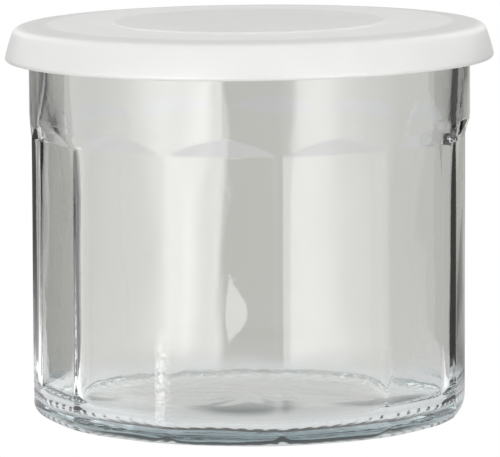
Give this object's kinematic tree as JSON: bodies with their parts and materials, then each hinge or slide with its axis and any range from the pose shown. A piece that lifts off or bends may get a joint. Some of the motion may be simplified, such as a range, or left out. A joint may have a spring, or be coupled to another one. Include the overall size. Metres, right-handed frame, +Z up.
{
  "type": "glass storage jar with plastic lid",
  "caption": "Small empty clear glass jar with twelve gently bowed upright panels, a round band at the mouth and a thin domed floor, closed by an overhanging translucent white plastic lid.",
  "frame": {"origin": "centre of the ring that the jar stands on, at table height", "axes": "+Z up along the jar's axis, -Y towards the viewer of the picture, +X to the viewer's right"},
  "size_m": [0.0952, 0.0952, 0.0774],
  "materials": {
    "clear_glass": "clear pressed soda-lime glass, smooth and glossy, faintly blue-grey where it is thick",
    "white_plastic": "soft translucent white polyethylene, satin"
  },
  "bodies": {
    "root": {"glass_jar": "clear_glass", "lid": "white_plastic"}
  },
  "joints": []
}
